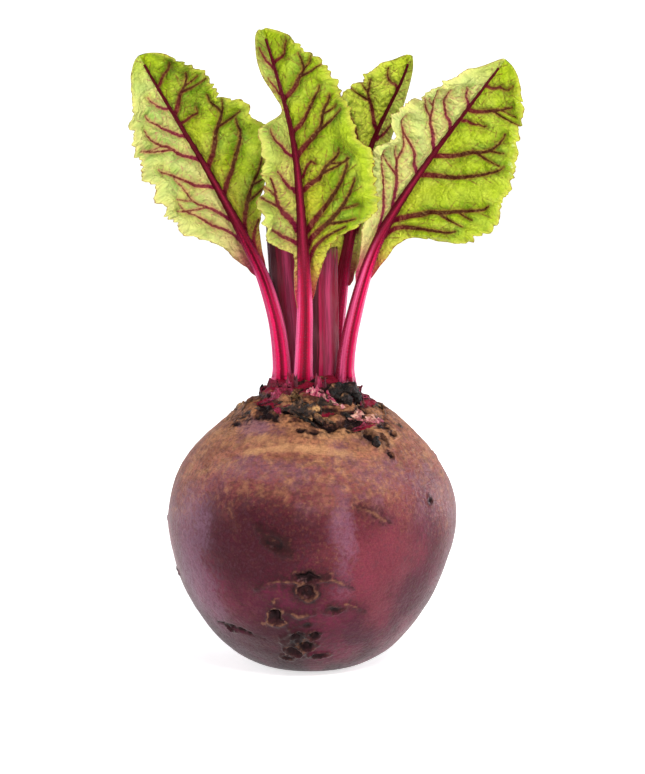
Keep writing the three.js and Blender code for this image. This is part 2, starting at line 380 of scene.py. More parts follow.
def leaf_lamina():
    """A young beet leaf's blade: soft, waxy and puckered, from lime to deep green, with maroon veins
    on its upper side, a fine net of pale veins between them, and a paler matt underside. A painted
    sheen pales some halves, painted highlights lighten the puckers' crests, and painted shade darkens
    the creases beside the veins and the tips of some right halves."""
    material, tree, shader = start_material(
        "leaf_lamina", 0.35, Specular_IOR_Level=0.3, Specular_Tint=linear("#f2f080")
    )
    place = add(tree, "UVMap", uv_map="pattern")
    pale, upper, vein, twig, rib, margin, blush, foot, lime_and_painted_light = (
        add(tree, "Attribute", output="Fac", attribute_name=name)
        for name in ("pale", "upper", "vein", "twig", "rib", "margin", "blush", "foot", "lime_and_painted_light")
    )
    sway = add(tree, "TexNoise", {"Vector": place, "Scale": per(3), "Detail": 2}, output="Color")
    swayed = add(tree, "MixRGB", {0: 0.0012, 1: place, 2: sway}, blend_type="ADD")
    small = speckle(tree, place, 2.4, 0.35, 0.65, detail=6)
    fine = speckle(tree, place, 0.9, 0.35, 0.65, detail=6)
    wide_cells, cells = (
        add(tree, "TexVoronoi", {"Vector": swayed, "Scale": per(size)}, feature="DISTANCE_TO_EDGE")
        for size in (3.6, 1.3)
    )
    patches = speckle(tree, place, 8, 0.4, 0.62)
    green = add(tree, "MixRGB", {0: patches, 1: "#749203", 2: "#426c04"})
    # A painted sheen pales some halves: there the green turns to mint.
    sheen_mint = add(tree, "MixRGB", {0: patches, 1: "#b0b45c", 2: "#7ba046"})
    painted_sheen = worn(tree, "pale", speckle(tree, place, 7, 0.35, 0.65), 0.2, 1.2)
    colour = add(tree, "MixRGB", {0: painted_sheen, 1: green, 2: sheen_mint})
    ragged = add(tree, "Math", {0: fine, 1: 0.16, 2: -0.08}, operation="MULTIPLY_ADD")
    vein_edge = add(tree, "Math", {0: vein, 1: ragged}, operation="ADD")
    twig_edge = add(tree, "Math", {0: twig, 1: ragged}, operation="ADD")
    veined = add(tree, "MapRange", span(vein_edge, 0.16, -0.08, 0.97), **SOFT)
    near = add(tree, "MapRange", span(vein, 4.5, 0.5, 0.4), **SOFT)
    rim = add(tree, "Math", {0: fine, 1: 0.5, 2: margin}, operation="MULTIPLY_ADD")
    # Each coat has its mask and its colours on the green parts and on the parts that a painted sheen
    # pales.
    for mask, on_green, on_sheen in [
        # Lime patches; on the rear leaf they are raised far enough to be painted light.
        (add(tree, "MapRange", span(small, -0.4, 1, lime_and_painted_light)), "#bccf10", "#d3d490"),
        # Painted highlights on the puckers' crests, away from the veins.
        (add(tree, "MapRange", span(vein, 0.6, 3.0, 0.45), **SOFT), "#a0b40a", "#c8ce86"),
        (add(tree, "MapRange", span(rib, 9, 0.5, blush), **SOFT), "#b88418", "#cf9a8e"),
        (worn(tree, "shade", small, 0.1, 1.2), "#1d3d08", "#35560f"),
        (add(tree, "MapRange", span(margin, 1.6, 0.3, 0.5), **SOFT), "#b9b444", "#d6cc84"),
        (add(tree, "MapRange", span(wide_cells, 0.07, 0.01, near), **SOFT), "#69520f", "#ab8068"),
        (add(tree, "MapRange", span(cells, 0.1, 0, 0.16), **SOFT), "#3c6005", "#8fa455"),
        (add(tree, "MapRange", span(twig_edge, 0.14, -0.1, 0.7), **SOFT), "#571f10", "#a25e5c"),
        # Painted shade in the creases beside the veins.
        (add(tree, "MapRange", span(vein, 1.6, 0, 0.35), **SOFT), "#435c06", "#98a054"),
        (add(tree, "MapRange", span(vein, 0.6, 0, 0.6), **SOFT), "#70300f", "#b0645e"),
        (veined, "#30030b", "#5e0e22"),
        (add(tree, "MapRange", span(rib, 7, 0, veined), **SOFT), "#56061c", "#701838"),
        (add(tree, "MapRange", span(rim, 0.45, 0.2, 0.8), **SOFT), "#6b2a1c", "#8a4a34"),
        (add(tree, "MapRange", span(rib, 7, 0, foot), **SOFT), "#9a1c3a", "#b23a62"),
    ]:
        tone = add(tree, "MixRGB", {0: pale, 1: on_green, 2: on_sheen})
        colour = add(tree, "MixRGB", {0: mask, 1: colour, 2: tone})
    under = add(tree, "MixRGB", {0: small, 1: "#8ba043", 2: "#728f38"})
    under = add(tree, "MixRGB", {0: veined, 1: under, 2: "#a03458"})
    colour = add(tree, "MixRGB", {0: upper, 1: under, 2: colour})
    rough = add(tree, "Math", {0: small, 1: 0.16, 2: 0.27}, operation="MULTIPLY_ADD")
    relief = add(tree, "MapRange", span(cells, 0, 0.35, 0.6), **SOFT)
    relief = add(tree, "Math", {0: wide_cells, 1: 4.0, 2: relief}, operation="MULTIPLY_ADD")
    relief = add(tree, "Math", {0: small, 1: 0.6, 2: relief}, operation="MULTIPLY_ADD")
    finish_material(tree, shader, colour, rough, relief, 0.4, 0.75)
    return material


def withered_petiole():
    """An old stalk whose leaf is gone: plum and dull, wrinkled lengthwise as it dries, with pinker
    streaks where the skin has split."""
    material, tree, shader = start_material("withered_petiole", 0.5, Specular_IOR_Level=0.2)
    along = add(tree, "UVMap", uv_map="pattern")
    streaks = speckle(tree, along, 1.8, 0.4, 0.62, squash=(1, 0.04, 1))
    threads = speckle(tree, along, 0.7, 0.42, 0.6, squash=(1, 0.04, 1))
    colour = add(tree, "MixRGB", {0: streaks, 1: "#6a0622", 2: "#980f40"})
    husk = add(tree, "MixRGB", {0: streaks, 1: "#7c5236", 2: "#3d2519"})
    colour = coated(tree, colour, [
        (worn(tree, "pale", threads, 0.25, 1.3, 0.8), "#b43c68"),
        (worn(tree, "deep", threads, 0.2, 1.2, 0.9), "#300a16"),
        (speckle(tree, along, 0.7, 0.45, 0.6, 0.45, squash=(1, 0.04, 1)), "#3a0815"),
        (speckle(tree, along, 5, 0.45, 0.65, 0.3, squash=(1, 0.4, 1)), "#7c4450"),
        (worn(tree, "dry", threads, 0.4, 1.2), husk),
    ])
    rough = add(tree, "Math", {0: threads, 1: 0.25, 2: 0.36}, operation="MULTIPLY_ADD")
    ridges = add(tree, "Math", {0: threads, 1: 0.7, 2: streaks}, operation="MULTIPLY_ADD")
    finish_material(tree, shader, colour, rough, ridges, 0.35, 0.7)
    return material


def dried_sheath():
    """Dead leaf bases on the crown: brittle, almost black where wet soil has rotted them, brown to
    straw where they are papery, and raw crimson to pink where they have broken off, with grey-blue
    glints painted on the black."""
    material, tree, shader = start_material("dried_sheath", 0.55, Specular_IOR_Level=0.22)
    place = add(tree, "TexCoord", output="Object")
    grain = speckle(tree, place, 1.0, 0.3, 0.72, detail=6)
    fibres = speckle(tree, place, 1.2, 0.4, 0.6, squash=(1.6, 1.6, 0.4))
    stored = add(tree, "Attribute", output="Fac", attribute_name="tone")
    tone = add(tree, "Math", {0: grain, 1: 0.35, 2: stored}, operation="MULTIPLY_ADD")
    colour = add(tree, "ValToRGB", {"Fac": tone}, stops=[
        (0.12, "#0c0a0b"), (1.0, "#b98f5c"), (0.4, "#241a17"), (0.6, "#463226"), (0.8, "#7c5a3c"),
    ])
    raw = add(tree, "ValToRGB", {"Fac": tone}, stops=[
        (0.12, "#25040c"), (1.0, "#d9a49c"), (0.4, "#5e0a20"), (0.65, "#8c1c40"), (0.82, "#b4506c"),
    ])
    split = speckle(tree, place, 1.2, 0.45, 0.62, 0.5, squash=(2, 2, 0.4))
    raw = add(tree, "MixRGB", {0: split, 1: raw, 2: "#3d0512"})
    colour = coated(tree, colour, [
        (worn(tree, "crimson", grain, 0.3, 1.1), raw),
        # Grey-blue flecks: painted glints.
        (speckle(tree, place, 2.2, 0.62, 0.75, 0.25), "#59616c"),
    ])
    rough = add(tree, "Math", {0: grain, 1: 0.4, 2: 0.36}, operation="MULTIPLY_ADD")
    relief = add(tree, "Math", {0: fibres, 1: 0.8, 2: grain}, operation="MULTIPLY_ADD")
    finish_material(tree, shader, colour, rough, relief, 0.4, 0.8)
    return material


def studio_paper():
    """Plain matt studio paper, lit from within so that it stays pale in shade."""
    glow = {"Emission_Color": linear("#ffffff"), "Emission_Strength": 0.66}
    material, tree, shader = start_material("studio_paper", 0.9, Specular_IOR_Level=0.1, **glow)
    place = add(tree, "TexCoord", output="Object")
    grain = speckle(tree, place, 60, 0.3, 0.7)
    colour = add(tree, "MixRGB", {0: grain, 1: "#f8f8f7", 2: "#f5f5f5"})
    tree.links.new(colour, shader.inputs["Base Color"])
    return material


# ---- The root ----


def root_radius(height):
    """The globe's radius at a height: from the flat spot it swells to the belly, falls to the
    neck, and closes over the neck in a low dome."""
    below = np.clip(1 - height / BELLY_HEIGHT, 0, 1)
    lower = FOOT_RADIUS + (ROOT_RADIUS - FOOT_RADIUS) * (1 - below**1.6) ** 0.57
    above = np.clip((height - BELLY_HEIGHT) / (SHOULDER_HEIGHT - BELLY_HEIGHT), 0, 1)
    upper = CROWN_RADIUS + (ROOT_RADIUS - CROWN_RADIUS) * (1 - above**2.2) ** 0.9
    rise = np.clip((height - SHOULDER_HEIGHT) / CROWN_RISE, 0, 1)
    dome = CROWN_RADIUS * np.sqrt(1 - rise**2)
    return np.where(height < BELLY_HEIGHT, lower, np.where(height < SHOULDER_HEIGHT, upper, dome))


def root_outline(rows):
    """Radii and heights from the middle of the flat spot to the top of the crown, spaced evenly
    along the outline, and twice as close on the crown."""
    foot = np.linspace(0.5, FOOT_RADIUS, 30)
    swell = BELLY_HEIGHT * np.linspace(0.002, 1, 400) ** 2
    fall = np.linspace(BELLY_HEIGHT, SHOULDER_HEIGHT, 400)[1:]
    dome = SHOULDER_HEIGHT + CROWN_RISE * np.sin(np.linspace(0, np.pi / 2, 80)[1:-1])
    heights = np.concatenate([foot * 0, swell, fall, dome])
    radii = np.concatenate([foot, root_radius(heights[len(foot):])])
    spans = np.hypot(np.diff(radii), np.diff(heights))
    spans *= 1 + smoothstep(62, 70, heights[1:])
    lengths = np.concatenate([[0], np.cumsum(spans)])
    even = np.linspace(0, lengths[-1], rows)
    return np.interp(even, lengths, radii), np.interp(even, lengths, heights)


def skin_place(angle, height):
    """Places on the globe, with the directions to their right, up the skin and out of it."""
    turn, height = np.broadcast_arrays(np.radians(angle), np.asarray(height, float))
    slope = (root_radius(height + 0.2) - root_radius(height - 0.2)) / 0.4
    away = np.stack([np.cos(turn), np.sin(turn), 0 * turn], -1)
    right = np.stack([-np.sin(turn), np.cos(turn), 0 * turn], -1)
    up = away * slope[..., None] + [0, 0, 1]
    up /= np.linalg.norm(up, axis=-1, keepdims=True)
    place = away * root_radius(height)[..., None] + height[..., None] * [0, 0, 1]
    return place, right, up, np.cross(right, up)


def around(points, angle, height, tilt=0):
    """How far each point lies to the right of a place on the skin and up from it, in mm, with the
    axes tilted by so many degrees. Points on the far side are far away."""
    centre, right, up, out = skin_place(angle, height)
    offset = points - centre
    x, y = offset @ right, offset @ up
    x = np.where(np.abs(offset @ out) > 12, 1e3, x)
    turn = np.radians(tilt)
    return x * np.cos(turn) + y * np.sin(turn), y * np.cos(turn) - x * np.sin(turn)


# Hollows in the skin: angle, height, width, height of the hollow, depth and tilt. The front's run
# down the line of its side roots. The rest of the globe has a few of its own.
HOLLOWS = [
    (-103, 42, 7.4, 3.8, 0.6, -35), (-105, 20.7, 4.6, 6.4, 2.0, 8), (-91, 32.3, 7.4, 2.6, 1.2, 0),
    (-96, 14.7, 2.8, 3.0, 1.2, 0), (-91, 11.1, 3.6, 3.2, 1.4, 30), (-99, 8.7, 3.8, 3.0, 1.2, 0),
    (-83, 7.5, 4.4, 2.0, 0.8, 10), (-79, 22.4, 4.2, 2.4, 0.8, 0), (-88, 14.5, 2.4, 2.2, 0.9, 20),
    (-104, 6.5, 3.2, 2.0, 0.9, -20), (-97, 12, 5.4, 9, 0.5, 0), (-92, 18, 2.2, 1.4, 0.6, 0),
    (-134, 14.5, 2.8, 1.4, 0.7, -35), (-33, 50, 1.8, 2.2, 0.4, 0), (-50, 67.1, 6.4, 3.6, 1.8, -30),
    (-33, 66.7, 2.2, 2.2, 0.7, 0), (-46, 62.7, 1.9, 2.1, 0.5, 0), (-95, 69.1, 2.2, 1.2, 0.5, 0),
    (-88, 68.7, 2.8, 1.2, 0.5, -10), (-147, 69.5, 3.0, 1.6, 0.6, 0), (84, 36, 5.0, 3.4, 1.0, 20),
    (92, 25, 3.6, 4.6, 1.3, 0), (88, 15, 3.0, 2.4, 0.9, 0), (160, 47, 3.6, 2.2, 0.5, 30),
    (25, 34, 2.8, 2.0, 0.6, 0), (130, 62, 2.4, 1.8, 0.6, 0), (60, 64, 2.6, 2.0, 0.6, 15),
    (-170, 27, 2.2, 1.6, 0.5, 0), (10, 58, 2.0, 1.6, 0.4, 0),
]
# Washes of colour on the skin, by kind: angle, height, width, height of the wash and strength.
# The mauve washes are partly the shoulders' own mauve patches and partly a painted sheen: the tall
# upright bands down the sides are painted highlights.
WASHES = {
    "wine": [
        (-112, 41, 44, 28, 1.0), (-92, 33, 26, 16, 0.6), (-98, 12, 30, 24, 0.8),
        (-35, 38, 16, 30, 0.35), (86, 34, 40, 34, 0.9), (150, 30, 30, 24, 0.6),
    ],
    "rosy": [
        (-62, 36, 36, 40, 0.9), (-122, 24, 20, 24, 0.3), (-135, 50, 16, 18, 0.5), (40, 36, 34, 34, 0.8),
        (120, 42, 24, 30, 0.7), (-178, 36, 24, 30, 0.7),
    ],
    "mauve_and_sheen": [
        (-76, 46, 9, 44, 0.75), (-146, 30, 20, 44, 0.8), (-127, 70, 15, 8, 1.0), (-112, 60, 34, 9, 0.6),
        (-58, 58, 30, 10, 0.5), (70, 58, 36, 10, 0.7), (10, 44, 12, 40, 0.6), (150, 60, 30, 10, 0.6),
    ],
    "cream": [
        (-97, 65.3, 34, 3.6, 0.9), (-66, 69, 24, 6, 0.9), (-118, 67, 14, 6, 0.6), (-40, 66, 20, 8, 0.6),
        (60, 67, 40, 6, 0.9), (140, 68, 34, 6, 0.8), (-165, 67, 24, 5, 0.6),
    ],
}
# Corky lines that stand out of the skin: angle and height of each one's corners, its width and how
# far it stands out, or goes in where that is negative.
LINES = [
    ([(-112, 28.4), (-104, 30.8), (-96, 31.2), (-90, 30)], 0.9, 0.45),
    ([(-88, 31.4), (-80, 31.2), (-72, 28.6)], 0.7, 0.35),
    ([(-80, 24.6), (-72, 23.6), (-64, 20.8)], 0.6, 0.25),
    ([(-101, 22.6), (-95, 20.6), (-88, 21.6)], 0.9, 0.5),
    ([(-142, 16), (-134, 15.6), (-124, 14.6), (-114, 13)], 0.5, -0.5),
    ([(-72, 51), (-66, 49.6), (-60, 47), (-56, 46)], 0.9, 0.3),
    ([(74, 30), (84, 32.4), (94, 31.8), (102, 29)], 0.8, 0.4),
    ([(98, 19), (90, 20.6), (82, 19.4)], 0.7, 0.35),
    ([(170, 40), (178, 41.6), (-174, 41)], 0.6, 0.3),
    ([(28, 22), (36, 24), (44, 23.6)], 0.6, 0.3),
]


def root_rings(rows=300, columns=330):
    """The globe as an outline turned round the axis and moved out along its own normal: by broad
    lobes and dents, fine growth rings, hollows, corky lines and a broken, scarred crown. The
    columns lie closer together at the front."""
    sweep = np.linspace(-np.pi, np.pi, columns, endpoint=False)
    angle = (sweep - 0.4 * np.sin(sweep) - np.pi / 2)[None, :]
    radius, height = (line[:, None] for line in root_outline(rows))
    swell = np.sin(np.pi * np.minimum(height, SHOULDER_HEIGHT) / SHOULDER_HEIGHT)
    lobes = LOBE_DEPTH * swell * (np.sin(3 * angle + 1) + 0.6 * np.sin(5 * angle + 2.4))
    reach = radius + lobes * smoothstep(0, 6, radius)
    points = np.stack(np.broadcast_arrays(reach * np.cos(angle), reach * np.sin(angle), height), -1)
    slope = np.arctan2(np.gradient(height[:, 0]), np.gradient(radius[:, 0]))[:, None]
    outward = np.sin(slope)
    normal = np.stack(
        np.broadcast_arrays(outward * np.cos(angle), outward * np.sin(angle), -np.cos(slope)), -1
    )

    body = smoothstep(0.5, 6, height)
    crown = smoothstep(67, 74, height + 2.2 * noise(points, 7, 3))
    lift = body * (0.6 * noise(points, 24, 1, 2) + 0.14 * noise(points, 7, 2, 2))
    rings = noise(points * [0.14, 0.14, 1], 1.5, 4, 2)
    lift = lift + body * (0.02 + 0.09 * smoothstep(45, 70, height)) * rings
    layers = {kind: np.zeros(lift.shape) for kind in ("scar", "cork", "flesh", "bruise", *WASHES)}

    def stain(kind, strength):
        """Brings a layer up to a strength."""
        layers[kind] = np.maximum(layers[kind], strength)

    wobble = 1.5 * noise(points, 2.6, 5, 3) + 0.9 * noise(points, 1.4, 13, 2)
    broad = noise(points, 9, 11)

    for kind, washes in WASHES.items():
        for wash_angle, wash_height, wide, tall, strength in washes:
            x, y = around(points, wash_angle, wash_height)
            edge = 2 * np.hypot(x / wide, y / tall) + 0.35 * broad
            stain(kind, strength * (1 - smoothstep(0.3, 1.3, edge)))

    for hollow_angle, hollow_height, wide, tall, depth, tilt in HOLLOWS:
        x, y = around(points, hollow_angle, hollow_height, tilt)
        edge = 2 * np.hypot(x / wide, y / tall) + 0.3 * wobble
        lift = lift - depth * (1 - smoothstep(0.2, 1.1, edge)) + 0.4 * bump(edge, 1.35, 0.25)
        stain("scar", 1 - smoothstep(0.55, 1.15, edge))
        stain("bruise", 0.9 * (1 - smoothstep(0.8, 2.3, edge)))
        stain("cork", 0.4 * depth / 1.2 * bump(edge + 0.2 * wobble, 1.4, 0.2))
    for corners, wide, proud in LINES:
        middle = corners[len(corners) // 2]
        x, y = around(points, *middle)
        places = [skin_place(*corner)[0] - skin_place(*middle)[0] for corner in corners]
        _, right, up, _ = skin_place(*middle)
        line = [(place @ right, place @ up) for place in places]
        distance, share = polyline_distance(x, y, line)
        tapered = wide * (0.35 + 0.65 * np.sin(np.pi * np.clip(share, 0.05, 0.95)))
        ridge = bump(distance + 0.25 * wobble, 0, tapered)
        lift = lift + proud * ridge
        if proud > 0:
            thin = bump(distance + 0.15 * wobble, 0, 0.6 * tapered)
            stain("cork", 0.75 * thin * np.sin(np.pi * np.clip(share, 0.02, 0.98)))
        else:
            stain("scar", 0.95 * ridge)
        stain("bruise", 0.5 * bump(distance, 0, 3 * tapered))

    # A corky island in the first hollow, where its floor isn't dark.
    x, y = around(points, -103.6, 42.3, -35)
    stain("cork", 0.45 * bump(np.hypot(x / 2, y / 0.6), 0, 1))
    layers["scar"] = layers["scar"] * (1 - 0.9 * bump(np.hypot(x / 2, y), 0, 1.2))

    # The ring left by a side root, round a small boss.
    for ring_angle, ring_height, ring_radius in [(-91, 28.4, 2.7), (88, 28, 2.4)]:
        x, y = around(points, ring_angle, ring_height)
        reach = np.hypot(x, y) + 0.35 * wobble
        lift = lift + 0.7 * bump(reach, ring_radius, 0.5) - 0.9 * bump(reach, 1.4, 0.7)
        stain("scar", 0.7 * bump(reach, 1.5, 0.6) + 0.5 * bump(reach, ring_radius + 0.9, 0.4))
        stain("bruise", 1 - smoothstep(2, 6, reach))
        stain("cork", 0.6 * bump(reach, ring_radius, 0.35))

    # The broken crown: rings of old leaf bases, with dark rotted clefts between them and raw flesh.
    crag = noise(points * [0.6, 0.6, 1.9], 3.6, 6)
    lift = lift + crown * (0.8 * crag + 0.3 * noise(points, 1.4, 7, 2))
    stain("scar", crown * smoothstep(0.15, -0.3, crag))
    stain("bruise", crown * (0.35 + 0.65 * smoothstep(0.4, -0.1, crag)))
    stain("cork", 0.3 * crown * smoothstep(0.3, 0.7, crag))
    raw = crown * smoothstep(0.0, 0.5, noise(points, 5, 8)) * smoothstep(73, 75.5, height)
    for raw_angle, raw_height, wide, tall, tilt in [
        (-74, 73, 6, 2.6, 10), (-19, 73.9, 9, 3.2, 0), (-50, 69.6, 9.5, 1.4, 8), (-138, 75, 9, 2.6, 0),
    ]:
        x, y = around(points, raw_angle, raw_height, tilt)
        spot = 1 - smoothstep(0.6, 1.15, 2 * np.hypot(x / wide, y / tall) + 0.3 * wobble)
        raw = np.maximum(raw, spot)
    stain("flesh", raw)
    layers["scar"] = layers["scar"] * (1 - 0.9 * raw)
    x, y = around(points, -91, 72.6, -30)
    cleft = bump(np.hypot(np.maximum(np.abs(x) - 7, 0), y) + 0.4 * wobble, 0, 1.7)
    lift = lift - 1.4 * cleft
    stain("scar", cleft)

    lift = lift + 0.5 * layers["scar"] * noise(points, 1.2, 12, 2)

    # The bottom stays flat where it rests.
    moved = points + normal * (lift * smoothstep(FOOT_RADIUS - 2, FOOT_RADIUS + 4, radius))[..., None]
    top = smoothstep(14.5, 11.5, radius) * (height > SHOULDER_HEIGHT - 1)
    moved = np.where(height[..., None] > SHOULDER_HEIGHT, points + normal * lift[..., None], moved)
    moved[..., 2] = np.clip(moved[..., 2], 0, None)
    stain("scar", 0.75 * top)
    stain("flesh", 0.9 * top * smoothstep(-0.2, 0.3, noise(points, 3.5, 9)))
    pattern = np.stack(np.broadcast_arrays(angle * radius, height), -1)
    return moved, layers, pattern


# ---- Stalks ----


# A cut end is a cup. These are its depths in mm, and its widths as shares of the stalk's own.
CUP_DEPTHS = [0.1, 0.5, 1.1, 1.7, 2.0]
CUP_WIDTHS = [0.94, 0.82, 0.66, 0.4, 0.12]


def stalk_rings(path, width, depth, taper, rows, seed, channel=0.25, cut=0, foot=1.3, reach=1):
    """A stalk along its path: a rounded section with a channel down its front and shallow ribs
    round it, thinned by the taper and flared at the foot. Its front lies on the path. A cut end
    is cupped, and its rim is ragged by so many mm."""
    share = np.linspace(0, reach, rows)
    sink, inward = np.zeros(rows), np.ones(rows)
    if cut:
        share = np.concatenate([share, np.ones(len(CUP_DEPTHS))])
        sink = np.concatenate([sink, CUP_DEPTHS])
        inward = np.concatenate([inward, CUP_WIDTHS])
    point, along, front, side, length = frame_along(path, share)
    turn = np.linspace(0, 2 * np.pi, 48, endpoint=False)[None, :]
    x, z = np.cos(turn), np.sin(turn)
    groove = channel * bump(x, 0, 0.45) * (z > 0) * np.abs(z)
    ribs = 1 + 0.025 * np.cos(11 * turn + seed) + 0.02 * np.cos(7 * turn)
    along_mm = (share * length)[:, None]
    loose = np.stack(np.broadcast_arrays(x * 3, z * 3, along_mm * 0.16), -1)
    ribs = ribs + 0.05 * noise(loose, 2.2, 20 + seed, 2)
    girth = spline(taper, share)[:, None] * (1 + (foot - 1) * smoothstep(10, 2, along_mm))
    across = x * ribs * inward[:, None] * girth * width / 2
    deep = ((z - groove) * ribs * inward[:, None] - 1) * girth * depth / 2
    bow = 0.4 * girth * line_noise(share * length, 16, 30 + seed)[:, None]
    ragged = 0.0
    if cut:
        torn = cut * line_noise(turn[0] * 2.5, 1.6, 40 + seed)
        ragged = torn[None, :] * (smoothstep(0.8, 1, share) * inward)[:, None]
    up = (ragged - sink[:, None]) * np.ones_like(x)
    rings = (
        point[:, None]
        + side[:, None] * (across + bow * 0.5)[..., None]
        + front[:, None] * deep[..., None]
        + along[:, None] * up[..., None]
    )
    pattern = np.stack(np.broadcast_arrays(turn * width / 2 + 50 * seed, along_mm), -1)
    return rings, x * np.ones_like(across), z * np.ones_like(across), along_mm, length, pattern


